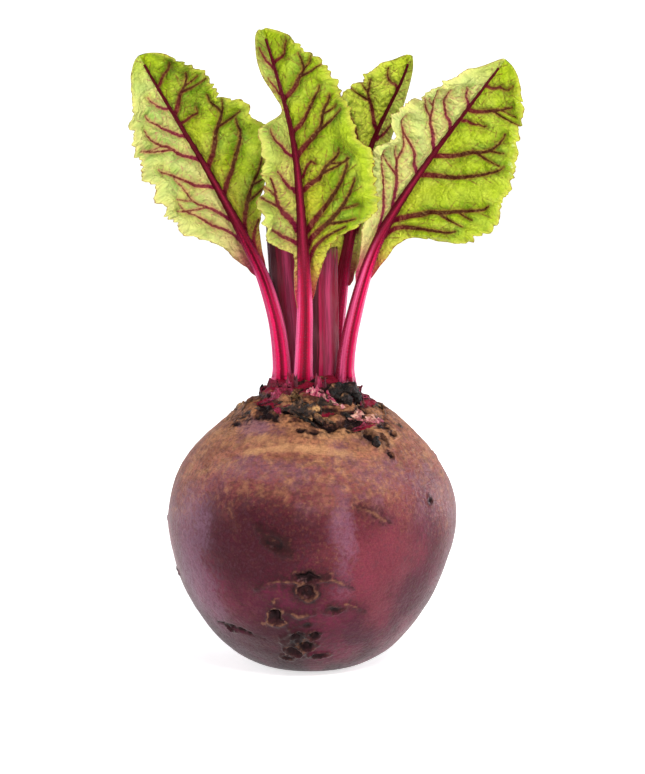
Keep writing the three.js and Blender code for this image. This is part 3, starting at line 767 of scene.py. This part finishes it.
# Each leaf has its path, from its foot in the crown to its tip, and the share of it where the
# blade starts. "waves" is how many ripples its margin has, "shade" where painted shade darkens the
# right half's tip and how much, "blush" how red it is beside its rib, and the last how much lime it
# shows, which on the rear leaf is raised into painted light.
# The stalk's stripes have a middle and a spread, from -1 at its left edge to 1 at its right.
# Each half, the left one first, has its fold and curl in degrees, how much a painted sheen pales it,
# how far its margin lies from the rib seen from the front, and its side veins: where each leaves the
# rib and where it ends, as shares of the blade, how much of the half it crosses, its width in mm and
# whether it forks.
LEAVES = {
    "left": {
        "path": [
            (-7.9, -2, -6.5), (-8.1, -1, 8), (-12, 2, 25), (-19.1, 5, 40), (-28.6, 7, 57.5),
            (-40.6, 7, 77.5), (-46.9, 3, 89),
        ],
        "blade_from": 0.34, "waves": 3, "shade": (0.92, 0.3), "blush": 0.35, "lime_and_painted_light": 0.22,
        "pale_stripes": [(-0.95, 0.35), (0.92, 0.3)], "deep_stripes": [(0.0, 0.2)],
        "halves": [{
            "fold": 20, "curl": 30, "pale": 0.9,
            "spread": [1, 3.5, 5.5, 7, 11, 12.5, 15, 14.5, 14.5, 14.5, 13, 13.5, 12.5, 10.5, 8, 6, 4],
            "veins": [
                (0.1, 0.4, 0.7, 0.7, 0), (0.22, 0.5, 0.6, 0.7, 1), (0.38, 0.57, 0.74, 0.8, 0),
                (0.5, 0.73, 0.7, 0.8, 1), (0.61, 0.78, 0.55, 0.7, 0), (0.74, 0.84, 0.35, 0.5, 0),
            ],
        }, {
            "fold": 12, "curl": 12, "pale": 0.12,
            "spread": [
                1.5, 2.5, 4, 6, 9.6, 13.3, 16.3, 17.8, 19.6, 18.8, 19, 14.5, 13.5, 13, 12, 10, 7,
            ],
            "veins": [
                (0.08, 0.21, 0.92, 1.2, 0), (0.15, 0.42, 0.94, 1.1, 1), (0.34, 0.58, 0.76, 1.1, 0),
                (0.47, 0.73, 0.82, 1.1, 1), (0.69, 0.69, 0.46, 0.6, 0), (0.72, 0.85, 0.7, 1.0, 1),
                (0.86, 0.93, 0.6, 0.6, 0),
            ],
        }],
    },
    "centre": {
        "path": [
            (-1.9, -5, -6.5), (-1.7, -6, 8.5), (-1.3, -8, 25.5), (-2.6, -10, 50), (-4.7, -9, 67.5),
            (-9.3, -4, 85), (-13, 0, 96.5),
        ],
        "blade_from": 0.25, "waves": 3.5, "shade": (1.0, 0.05), "blush": 0.38, "lime_and_painted_light": 0.3,
        "pale_stripes": [(-0.9, 0.36), (0.97, 0.2)], "deep_stripes": [(0.15, 0.25)],
        "halves": [{
            "fold": 35, "curl": 30, "pale": 0.45,
            "spread": [1, 1.2, 1.4, 1.5, 8, 11.4, 12.3, 10, 9.6, 8.4, 9, 1.5, 2, 3.5, 4, 3.5, 3],
            "veins": [
                (0.2, 0.32, 0.7, 1.0, 0), (0.27, 0.48, 0.74, 1.1, 1), (0.4, 0.5, 0.5, 0.8, 0),
                (0.53, 0.63, 0.6, 0.7, 0), (0.74, 0.82, 0.6, 0.5, 0), (0.84, 0.92, 0.6, 0.5, 0),
            ],
        }, {
            "fold": 10, "curl": 15, "pale": 0.1,
            "spread": [1, 2.5, 4, 6, 9.5, 18, 20.5, 20.5, 20, 18.5, 17, 16, 15, 13, 10, 7.5, 3],
            "veins": [
                (0.13, 0.3, 0.78, 1.0, 0), (0.18, 0.44, 0.75, 1.3, 1), (0.26, 0.5, 0.68, 1.3, 0),
                (0.41, 0.54, 0.62, 1.1, 1), (0.46, 0.51, 0.25, 0.7, 0), (0.53, 0.71, 0.76, 1.2, 1),
                (0.62, 0.75, 0.66, 0.9, 0), (0.73, 0.87, 0.74, 1.0, 1), (0.87, 0.92, 0.67, 0.7, 0),
            ],
        }],
    },
    "right": {
        "path": [
            (9.7, -3, -6.5), (10.3, -2.5, 7.5), (14.3, 2, 25), (20.1, 5, 40), (31, 7.5, 57),
            (42.9, 8, 73), (53.9, 4, 88),
        ],
        "blade_from": 0.31, "waves": 3, "shade": (0.95, 0.12), "blush": 0.14, "lime_and_painted_light": 0.5,
        "pale_stripes": [(-0.35, 0.3), (1.0, 0.25)], "deep_stripes": [(-0.8, 0.3), (0.2, 0.12)],
        "halves": [{
            "fold": 25, "curl": 30, "pale": 0.9,
            "spread": [1.4, 2.6, 4, 5.6, 7, 10, 13, 15.5, 14.5, 17, 14.5, 13.5, 13.5, 12, 8.5, 4.5, 2],
            "veins": [
                (0.17, 0.46, 0.78, 0.8, 0), (0.27, 0.56, 0.62, 0.9, 1), (0.45, 0.61, 0.78, 0.8, 0),
                (0.56, 0.78, 0.82, 0.8, 1), (0.65, 0.8, 0.62, 0.7, 0), (0.77, 0.84, 0.34, 0.5, 0),
            ],
        }, {
            "fold": 10, "curl": 12, "pale": 0.12,
            "spread": [1, 2.5, 4, 5, 8.5, 20, 22.5, 24, 24.5, 23, 21.5, 21, 17.5, 14, 13, 10.5, 8],
            "veins": [
                (0.18, 0.36, 0.77, 1.3, 0), (0.26, 0.52, 0.83, 1.3, 1), (0.45, 0.68, 0.84, 1.1, 0),
                (0.55, 0.78, 0.78, 1.1, 1), (0.72, 0.75, 0.4, 0.6, 0), (0.76, 0.89, 0.74, 0.9, 1),
                (0.88, 0.94, 0.6, 0.6, 0),
            ],
        }],
    },
    "rear": {
        "path": [
            (6.2, 7, -6.5), (7, 8, 8.5), (8.4, 10, 20.5), (11, 13, 37.5), (16.8, 15, 62.5),
            (25.5, 14, 81.5), (28, 12, 89),
        ],
        # Its lime is raised as painted light.
        "blade_from": 0.32, "waves": 3, "shade": (1.0, 0.0), "blush": 0.08, "lime_and_painted_light": 1.5,
        "pale_stripes": [(0.9, 0.2)], "deep_stripes": [(-0.2, 0.9)],
        "halves": [{
            "fold": 5, "curl": 8, "pale": 0.2,
            "spread": [2, 4, 5.5, 4.5, 5, 6, 6.5, 7, 8, 9, 10.5, 12.5, 13, 10.5, 9.5, 7, 3],
            "veins": [
                (0.16, 0.32, 0.8, 0.7, 0), (0.34, 0.52, 0.8, 0.8, 0), (0.5, 0.7, 0.8, 0.8, 0),
                (0.66, 0.84, 0.8, 0.9, 1), (0.84, 0.91, 0.6, 0.6, 0),
            ],
        }, {
            "fold": 50, "curl": 25, "pale": 0.4,
            "spread": [1.6, 3.2, 4.2, 4, 4, 5, 6, 6.5, 6, 5.5, 4.5, 4, 3.5, 3, 2.4, 2, 1.8],
            "veins": [(0.2, 0.36, 0.8, 0.7, 0), (0.42, 0.58, 0.8, 0.7, 0), (0.6, 0.74, 0.8, 0.6, 0)],
        }],
    },
}
LEAF_TAPER = [1.15, 0.96, 0.78, 0.56, 0.38, 0.24, 0.14]


def leaf_stalk(name, leaf, material, seed):
    """A leaf's stalk, which goes on up the blade as its midrib."""
    rings, x, z, along, length, pattern = stalk_rings(
        leaf["path"], STALK_WIDTH, STALK_DEPTH, LEAF_TAPER, rows=230, seed=seed, reach=0.97
    )
    share = along / length * np.ones_like(x)
    front = smoothstep(-0.2, 0.3, z)
    pale = sum(bump(x, middle, spread) for middle, spread in leaf["pale_stripes"])
    deep = sum(bump(x, middle, spread) for middle, spread in leaf["deep_stripes"])
    midrib = smoothstep(leaf["blade_from"] - 0.02, leaf["blade_from"] + 0.25, share)
    layers = {
        "pale": np.clip(pale, 0, 1) * (1 - 0.75 * midrib),
        "deep": np.clip(deep, 0, 1) * front,
        "midrib": 0.9 * midrib,
        "midline": front * midrib * bump(x, 0.1, 0.35) * smoothstep(0.8, 0.5, share),
        # Painted shade at the foot, where the stalk meets the crown.
        "foot": smoothstep(10, 5, along) * np.ones_like(x),
    }
    make_piece(f"stalk_{name}", [(rings, layers, pattern)], material, [f"stalk_{name}"])


# ---- Leaf blades ----


def side_vein(spread, length, start, end, reach, seed):
    """A side vein's corners on the flattened half: it leaves the rib on a slant and bends towards
    the tip as it nears the margin."""
    s = np.linspace(0, 1, 12)
    across = reach * (1 - (1 - s) ** 1.3) + 0.02 * line_noise(s * 10, 3, seed)
    v = start + (end - start) * s + 0.012 * line_noise(s * 10 + 50, 3, seed)
    return np.stack([across * spline(spread, v), v * length], -1)


def branch(corners, at, reach, turn, bend=0.35):
    """A branch that leaves a vein at a share of its way, turned from it by an angle in degrees."""
    i = int(at * (len(corners) - 2))
    heading = corners[i + 1] - corners[i]
    heading = np.arctan2(heading[1], heading[0]) + np.radians(turn)
    s = np.linspace(0, 1, 5)
    bent = heading - np.radians(turn) * bend * s
    steps = np.stack([np.cos(bent), np.sin(bent)], -1) * reach / 4
    return corners[i] + np.concatenate([[[0, 0]], np.cumsum(steps[:-1], axis=0)])


def vein_fields(x, y, half, length, seed):
    """Signed distances in mm to the edges of a half blade's side veins and of their twigs."""
    random = np.random.default_rng(seed)
    vein, twig = np.full(x.shape, 9.0), np.full(x.shape, 9.0)
    for start, end, reach, width, forked in half["veins"]:
        corners = side_vein(half["spread"], length, start, end, reach, int(random.integers(1000)))
        lines = [(corners, width, 0.25)]
        if forked:
            lines.append((branch(corners, 0.5, 8, -38), 0.5 * width, 0.3))
            lines.append((branch(corners, 0.78, 4.5, -45), 0.35 * width, 0.3))
        for line, girth, thin in lines:
            distance, share = polyline_distance(x, y, line)
            vein = np.minimum(vein, distance - 0.58 * girth * (1 - (1 - thin) * share))
        for i, at in enumerate(np.arange(0.14, 0.95, 0.1)):
            turn = (-1 if i % 2 == 0 else 1) * random.uniform(38, 62)
            line = branch(corners, at, random.uniform(2.8, 5.5), turn)
            distance, share = polyline_distance(x, y, line)
            twig = np.minimum(twig, distance - 0.14 * width * (1 - 0.5 * share))
            line = branch(line, 0.6, random.uniform(1.5, 2.5), -turn)
            twig = np.minimum(twig, polyline_distance(x, y, line)[0] - 0.08)
    stem = np.array([[0, 0], [0.3, 0.35], [0.6, 0.7]])
    for place in np.arange(0.06, 0.97, 0.045):
        line = branch(stem + [0, place * length], 0, random.uniform(1.8, 4.0), 8)
        twig = np.minimum(twig, polyline_distance(x, y, line)[0] - 0.1)
    return vein, twig


def half_blade(leaf, hand, share, out, seed):
    """Half a blade, from the rib out: a sheet that leaves the rib at its fold and bends on by its
    curl, puckered between its veins, with a rippled, toothed margin. Its foot starts inside the
    stalk, and it lies behind the rib's front."""
    half = leaf["halves"][hand]
    from_share = leaf["blade_from"]
    point, _, front, side, path_length = frame_along(leaf["path"], from_share + (1 - from_share) * share)
    length = path_length * (1 - from_share)
    fold, curl = np.radians(half["fold"]), np.radians(half["curl"])
    v, along = share[:, None], share[:, None] * length
    sign = 2 * hand - 1
    smooth_edge = spline(half["spread"], v) * np.sqrt(1 - v**24) * smoothstep(-0.04, 0.07, v)
    size = smoothstep(3, 12, smooth_edge)
    lobes = 0.7 * line_noise(share * length, 8, seed) + 0.7 * line_noise(share * length, 3, seed + 1)
    teeth = np.abs(line_noise(share * length, 1.5, seed + 2, 2)) - 0.35
    spread = smooth_edge + size * (lobes + 1.4 * teeth)[:, None]
    rib_half = STALK_WIDTH / 2 * spline(LEAF_TAPER, from_share + (1 - from_share) * v)
    x, y = out * spread, along * np.ones_like(out)
    beside = np.minimum(0.8 * rib_half, 0.7 * spread)
    past = np.clip((x - beside) / (spread - beside), 0, 1)
    turn = fold * smoothstep(0, 0.02, past) + curl * past
    full = np.sin(fold + curl) - np.sin(fold)
    width = (spread - beside) * curl / full
    swung = np.sin(fold + curl * past) - np.sin(fold)
    sideways = np.minimum(x, beside) + (spread - beside) * swung / full
    forward = width * (np.cos(fold) - np.cos(fold + curl * past)) / curl

    vein, twig = vein_fields(x, y, half, length, seed + 3)
    from_rib = np.maximum(x - rib_half, 0)
    nearest = np.minimum(np.maximum(vein, 0), from_rib)
    spots = np.stack([x, y, np.full(x.shape, 40.0 * hand)], -1)
    pucker = 1.9 * (1 - np.exp(-nearest / 1.8)) + 0.3 * np.minimum(np.maximum(twig, 0), 1.2)
    dents = 0.9 * noise(spots, 5.5, seed + 4, 2) + 0.15 * noise(spots, 2, seed + 6, 2)
    pucker = (pucker + dents * smoothstep(0, 3, from_rib)) * size
    wave = np.sin(2 * np.pi * leaf["waves"] * v + 2 * hand) * np.minimum(1, smooth_edge / 12) ** 2
    crimp = line_noise(share * length, 6.5, seed + 5)[:, None]
    frill = line_noise(share * length, 2.6, seed + 7)[:, None]
    ripple = out**2 * 1.3 * wave + (out**3 * 2.2 * crimp + out**6 * 1.4 * frill) * size
    margin = (1 - out) * width
    sunk = 0.9 * rib_half * smoothstep(1.8, 0.5, x / rib_half)
    lift = pucker * smoothstep(0, 2.5, margin) + ripple - sunk
    thickness = BLADE_THICKNESS * smoothstep(0, 1.4, margin) + MARGIN_THICKNESS
    ribbed = thickness + 0.5 * smoothstep(0.4, -0.3, vein) * size

    def placed(rise):
        """The sheet's points, raised along its own normal."""
        aside, ahead = sideways - rise * np.sin(turn), forward + rise * np.cos(turn)
        return (
            point[:, None]
            + side[:, None] * (sign * aside)[..., None]
            + front[:, None] * ahead[..., None]
        )

    tip, strength = leaf["shade"]
    # The pale layer is a painted sheen and the shade layer painted shade; on the rear leaf the lime
    # layer is also painted light.
    layers = {
        "vein": vein, "twig": twig, "rib": from_rib, "margin": margin,
        "pale": half["pale"] * (1 - 0.6 * smoothstep(0.85, 1, v)),
        "blush": leaf["blush"] * smoothstep(0.9, 0.1, v),
        "foot": 0.95 * smoothstep(0.2, 0.03, v),
        "lime_and_painted_light": leaf["lime_and_painted_light"],
        "shade": hand * strength * smoothstep(tip - 0.3, tip, v) * smoothstep(0.2, 0.6, out),
    }
    pattern = np.stack([sign * x + 60 * seed, y], -1)
    return placed(lift), placed(lift - ribbed), layers, pattern


def leaf_blade(name, leaf, material, seed, rows=270, columns=58):
    """A whole blade: its two halves' upper and under sides, joined round the margin in one loop
    for each step along the rib."""
    share = np.linspace(0, 1, rows)
    out = np.linspace(0, 1, columns)[None, :] ** 0.9
    left, right = (half_blade(leaf, hand, share, out, seed + 10 * hand) for hand in (0, 1))

    def loop(left_upper, right_upper, left_under, right_under):
        """Upper side from the left margin to the right one, then the under side back again."""
        return np.concatenate(
            [left_upper[:, ::-1], right_upper[:, 1:], right_under[:, ::-1], left_under[:, 1:]], axis=1
        )

    rings = loop(left[0], right[0], left[1], right[1])
    ones = np.ones(left[0].shape[:2])
    layers = {
        key: loop(*(half[2][key] * ones for half in (left, right, left, right))) for key in left[2]
    }
    layers["upper"] = loop(ones, ones, 0 * ones, 0 * ones)
    pattern = loop(left[3], right[3], left[3], right[3])
    make_piece(f"leaf_{name}", [(rings, layers, pattern)], material, [f"leaf_{name}"])


# ---- Old growth ----

CUT_STALKS = {
    "rear_left": [(-5.6, 4, -6.5), (-6.1, 4.2, 10), (-7.3, 5.5, 24), (-8.6, 8, 43)],
    "rear_right": [(3.9, 1.5, -6.5), (3.9, 1.7, 10), (3.9, 2, 24), (4.1, 2.5, 36)],
}
STUBS = {
    "front_left": [(-4.6, -9.8, -8), (-4.7, -10.2, -3), (-4.8, -10.8, 1.6)],
    "front_right": [(2.6, -9.4, -8), (2.8, -9.8, -3), (3, -10.4, 0.6)],
    "back_left": [(-4.5, 9, -8), (-4.8, 9.3, -1), (-5.3, 10, 5)],
    "back_right": [(0.6, 9.4, -8), (0.6, 9.8, -2), (0.7, 10.4, 2.6)],
}


def old_stalk(node, path, size, taper, cut, dark, dry, material, seed):
    """A stalk whose leaf is gone, darker on its left where dark is -1 and on its right where it is
    1. Its cut end is as dry as dry says."""
    rings, x, z, along, length, pattern = stalk_rings(
        path, *size, taper, rows=110, channel=0.4, seed=seed, cut=cut, foot=1.15
    )
    left = length - along
    layers = {
        "pale": bump(x, -dark * 0.35, 0.3) * smoothstep(-0.2, 0.4, z),
        "deep": smoothstep(0.15, 0.6, dark * x) * np.ones_like(x),
        "dry": dry * smoothstep(4, 0, left + 1.6 * line_noise(x[0] * 4, 1.5, seed)[None, :]),
    }
    make_piece(node, [(rings, layers, pattern)], material, [node])


def below_crown(node, offsets):
    """Points at offsets from the middle of a node, measured from the top of the crown."""
    low, high = box_mm(node)
    return (low + high) / 2 - [0, 0, ROOT_HEIGHT] + np.array(offsets, float)


def lump(path, widths, seed, rows=60, columns=40, flat=0.6, rough=0.6, tone=0.03):
    """A shrivelled piece: a tube along a short hooked path, flattened and crumpled by noise."""
    share = np.linspace(0, 1, rows)
    point, along, front, side, _ = frame_along(path, share)
    turn = np.linspace(0, 2 * np.pi, columns, endpoint=False)[None, :]
    reach = spline(widths, share)[:, None] / 2
    base = (
        point[:, None]
        + side[:, None] * (np.cos(turn) * reach)[..., None]
        + front[:, None] * (np.sin(turn) * reach * flat)[..., None]
    )
    away = base - point[:, None]
    crumple = rough * noise(base, 2.4, seed) + 0.4 * rough * noise(base, 0.9, seed + 1, 2)
    away = away * (1 + crumple)[..., None]
    papery = smoothstep(-0.1, 0.5, noise(base, 1.8, seed + 2)) * smoothstep(0.4, 1.6, away[..., 2])
    return point[:, None] + away, {"tone": tone + 0.5 * papery, "crimson": 0 * papery}, base[..., :2]


def scale(angle, height, wide, tall, lean, tilt, tone, crimson, seed):
    """What is left of an old leaf's base: a thin ribbon round the crown, standing up and away from
    it by its lean, low at both ends and torn along its upper edge."""
    u, v = np.meshgrid(np.linspace(-1, 1, 34), np.linspace(0, 1, 9))
    beside = wide / 2 * u
    slant = np.radians(tilt)
    turned = angle + np.degrees(beside * np.cos(slant) / root_radius(np.float64(height)))
    raised = np.minimum(height + beside * np.sin(slant), ROOT_HEIGHT - 1)
    foot, _, up, out = skin_place(turned, raised)
    torn = 1 + 0.45 * line_noise(beside, 2.2, seed) + 0.3 * line_noise(beside, 0.8, seed + 1)
    length = tall * np.sqrt(1 - 0.96 * u**2) * torn * v
    leaning = np.radians(lean) * (0.6 + 0.5 * v) + 0.25 * line_noise(beside, 3, seed + 2)
    sheet = foot + up * (length * np.cos(leaning) - 0.3)[..., None]
    sheet = sheet + out * (length * np.sin(leaning) - 0.5)[..., None]
    sheet = sheet + out * (0.5 * noise(sheet, 2.2, seed + 3, 3))[..., None]
    thick = 0.12 + 0.5 * (1 - v)
    rings = np.concatenate([sheet + out * thick[..., None], (sheet - out * 0.3)[:, ::-1]], axis=1)
    shades = tone + 0.2 * v + 0.15 * noise(sheet, 2, seed + 4, 2)
    layers = {"tone": np.concatenate([shades, shades[:, ::-1]], axis=1), "crimson": crimson}
    return rings, layers, rings[..., :2]


def scattered(count, heights, widths, lean, tones, crimson, seed):
    """Seeded scales round the whole crown, their sizes and shades drawn from the ranges."""
    random = np.random.default_rng(seed)
    turns = np.linspace(-180, 180, count, endpoint=False)
    return [
        scale(
            turn + random.uniform(-8, 8), random.uniform(*heights), random.uniform(*widths),
            random.uniform(1.4, 3.0), random.uniform(*lean), random.uniform(-25, 25),
            random.choice(tones), float(random.random() < crimson), seed + 10 * i,
        )
        for i, turn in enumerate(turns)
    ]


# ---- The beetroot ----

periderm = beet_periderm()
epidermis = petiole_epidermis()
lamina = leaf_lamina()
withered = withered_petiole()
sheath = dried_sheath()

make_piece("root", [root_rings()], periderm, ["root"])
for seed, (name, leaf) in enumerate(LEAVES.items(), start=1):
    leaf_stalk(name, leaf, epidermis, seed)
    leaf_blade(name, leaf, lamina, 100 * seed)
for seed, (name, path) in enumerate(CUT_STALKS.items(), start=11):
    old_stalk(
        f"cut_stalk_{name}", path, CUT_STALK_SIZE, taper=[1.1, 1, 0.95, 0.9],
        cut=0.9, dark=-1, dry=1, material=withered, seed=seed,
    )
for seed, (name, path) in enumerate(STUBS.items(), start=21):
    old_stalk(
        f"stalk_stub_{name}", path, STUB_SIZE, taper=[1.2, 1, 0.8],
        cut=1.8, dark=1, dry=0, material=withered, seed=seed,
    )

# The dried pieces lie where the frame has them: a black one that hooks over and folds under
# itself, a flaky ledge, and a small bud.
hook = below_crown(
    "dried_stalk_base",
    [(-4, 0.5, -1.2), (-2.6, -0.8, 1.6), (0.4, -1, 2.2), (2.8, 0, 0.8), (3.2, 1.2, -1.6)],
)
fold = below_crown("dried_stalk_base", [(-2.6, -1, -2.2), (-0.6, -1.9, -1.0), (1.6, -1.6, -1.2)])
ledge = below_crown(
    "dried_leaf_base",
    [(x, 0.3 * abs(x) + 0.3, 0.2 - 0.3 * x - 0.03 * x * x) for x in (-7, -3.5, 0, 3.5, 7)],
)
bud = below_crown("dried_bud", [(-0.4, 0.2, -2), (0, -0.5, -0.4), (0.5, -0.2, 1.6)])
for name, lumps in {
    "dried_stalk_base": [
        lump(hook, [2.4, 3.6, 3.8, 3.0, 1.4], 51, flat=0.8), lump(fold, [1.6, 3.2, 1.8], 55)
    ],
    "dried_leaf_base": [
        lump(ledge, [1.4, 3.2, 3.8, 3.2, 1.4], 61, flat=0.5, rough=0.8, tone=0.28)
    ],
    "dried_bud": [lump(bud, [1.6, 3, 1.4], 65, rough=0.7)],
}.items():
    make_piece(name, lumps, sheath, [name])

# Old leaf bases in rings round the crown, browner outside and raw crimson inside. At the front a
# grey-brown ledge slants down across it, with crimson slopes on both sides.
# Rows of angle, height, width, height of the scale, lean, tilt, tone and how crimson it is.
LEDGE_ROWS = [
    (-110, 75.6, 8, 3.2, 35, -20, 0.35, 0), (-101, 74.2, 9, 3.6, 40, -32, 0.45, 0),
    (-91, 73, 8, 3.0, 45, -28, 0.3, 0), (-82, 72, 8, 2.6, 35, -15, 0.4, 0),
    (-96, 72.2, 10, 1.4, 15, -28, 0.02, 0), (-13, 71.2, 5, 3, 40, 10, 0.4, 0),
    (-20, 67.6, 5, 2, 30, -30, 0.3, 0), (-46, 70.8, 10, 3.8, 14, -14, 0.6, 0.5),
    (-34, 70.4, 6, 3, 14, -10, 0.5, 0.6),
]
CRIMSON_ROWS = [
    (-140, 75.8, 9, 3, 10, 12, 0.3, 1), (-124, 77, 8, 3.4, 25, 10, 0.2, 1),
    (-84, 76.6, 6, 3.2, 20, -10, 0.6, 1), (-70, 75.4, 7, 3, 25, 12, 0.5, 1),
    (-24, 75, 9, 3.2, 15, -12, 0.25, 1), (-50, 70, 9, 1.2, 20, 6, 0.3, 1),
    (-60, 74, 6, 2.6, 30, -20, 0.65, 1), (-31, 76.4, 8, 3.6, 30, -8, 0.2, 1),
    (-12, 74.6, 8, 3, 20, -14, 0.3, 1), (-79, 77.6, 4, 2.4, 40, 0, 0.45, 1),
]
ledge_scales = [scale(*row, seed) for seed, row in enumerate(LEDGE_ROWS, start=501)]
crimson_scales = [scale(*row, seed) for seed, row in enumerate(CRIMSON_ROWS, start=521)]
make_piece(
    "crown_scales",
    ledge_scales
    + scattered(17, (71.8, 73.4), (3, 7), (0, 22), (0.05, 0.2, 0.35, 0.5), 0.15, 600)
    + scattered(20, (74, 75.5), (4, 8), (10, 40), (0.0, 0.1, 0.2), 0.4, 900),
    sheath,
)
make_piece(
    "raw_scales",
    crimson_scales + scattered(18, (76.5, 78.5), (3, 6), (20, 60), (0.1, 0.25, 0.4), 0.8, 1200),
    sheath,
)

# ---- Floor, light and camera ----

# A round sheet of paper, flat and then swept up to a wall, so that it fills every view.
FLAT_REACH, SWEEP, WALL_HEIGHT = 3.3, 0.7, 1.3
turn = np.linspace(0, 2 * np.pi, 96, endpoint=False)
bend = np.linspace(0, np.pi / 2, 16)
reach = np.concatenate([[0.001], FLAT_REACH + SWEEP * np.sin(bend), [FLAT_REACH + SWEEP]])
rise = np.concatenate([[0], SWEEP - SWEEP * np.cos(bend), [WALL_HEIGHT]])
flat = np.outer(reach, np.cos(turn)), np.outer(reach, np.sin(turn))
sheet = np.stack([*flat, np.outer(rise, np.ones(turn.size))], -1)
here = np.arange(reach.size * turn.size).reshape(reach.size, turn.size)
after = np.roll(here, -1, axis=1)
quads = np.stack([here[:-1], here[1:], after[1:], after[:-1]], -1).reshape(-1, 4)
floor_mesh = bpy.data.meshes.new("floor")
floor_mesh.from_pydata(sheet.reshape(-1, 3).tolist(), [], quads.tolist() + [here[0].tolist()])
floor_mesh.materials.append(studio_paper())
floor = bpy.data.objects.new("floor", floor_mesh)
bpy.context.collection.objects.link(floor)

AIM = Vector((3.5, 0, 78)) * MM


def aimed(thing, name, place):
    """An object for a light or camera at a place in metres, looking at the beetroot's middle."""
    made = bpy.data.objects.new(name, thing)
    made.location = place
    made.rotation_euler = (AIM - Vector(place)).to_track_quat("-Z", "Y").to_euler()
    bpy.context.collection.objects.link(made)
    return made


for name, place, size, power, tint in [
    ("key", (0.24, -0.68, 0.7), 0.28, 9.2, "#fff8f0"),
    ("fill", (-0.7, -0.6, 0.5), 0.6, 1, "#f6f8ff"),
    ("left_edge", (-0.7, 0.25, 0.15), 0.4, 2.3, "#f0eeff"),
    ("right_edge", (0.7, 0.35, 0.2), 0.4, 4, "#f4f2ff"),
]:
    lamp = bpy.data.lights.new(name, "AREA")
    lamp.size = size
    lamp.energy = power
    lamp.color = linear(tint)[:3]
    aimed(lamp, name, place)

world = bpy.data.worlds.new("studio")
world.use_nodes = True
world.node_tree.nodes["Background"].inputs["Color"].default_value = linear("#ffffff")
world.node_tree.nodes["Background"].inputs["Strength"].default_value = 0.26
bpy.context.scene.world = world
bpy.context.scene.view_settings.view_transform = "Standard"

# A long lens, 8 degrees above the level, looking straight at the beetroot's front.
CAMERA_DISTANCE = 0.8
CAMERA_RISE = np.radians(8)
lens = bpy.data.cameras.new("camera")
lens.sensor_fit = "HORIZONTAL"
lens.sensor_width = 36
lens.lens = 160.7
offset = Vector((0, -np.cos(CAMERA_RISE), np.sin(CAMERA_RISE))) * CAMERA_DISTANCE
bpy.context.scene.camera = aimed(lens, "camera", AIM + offset)
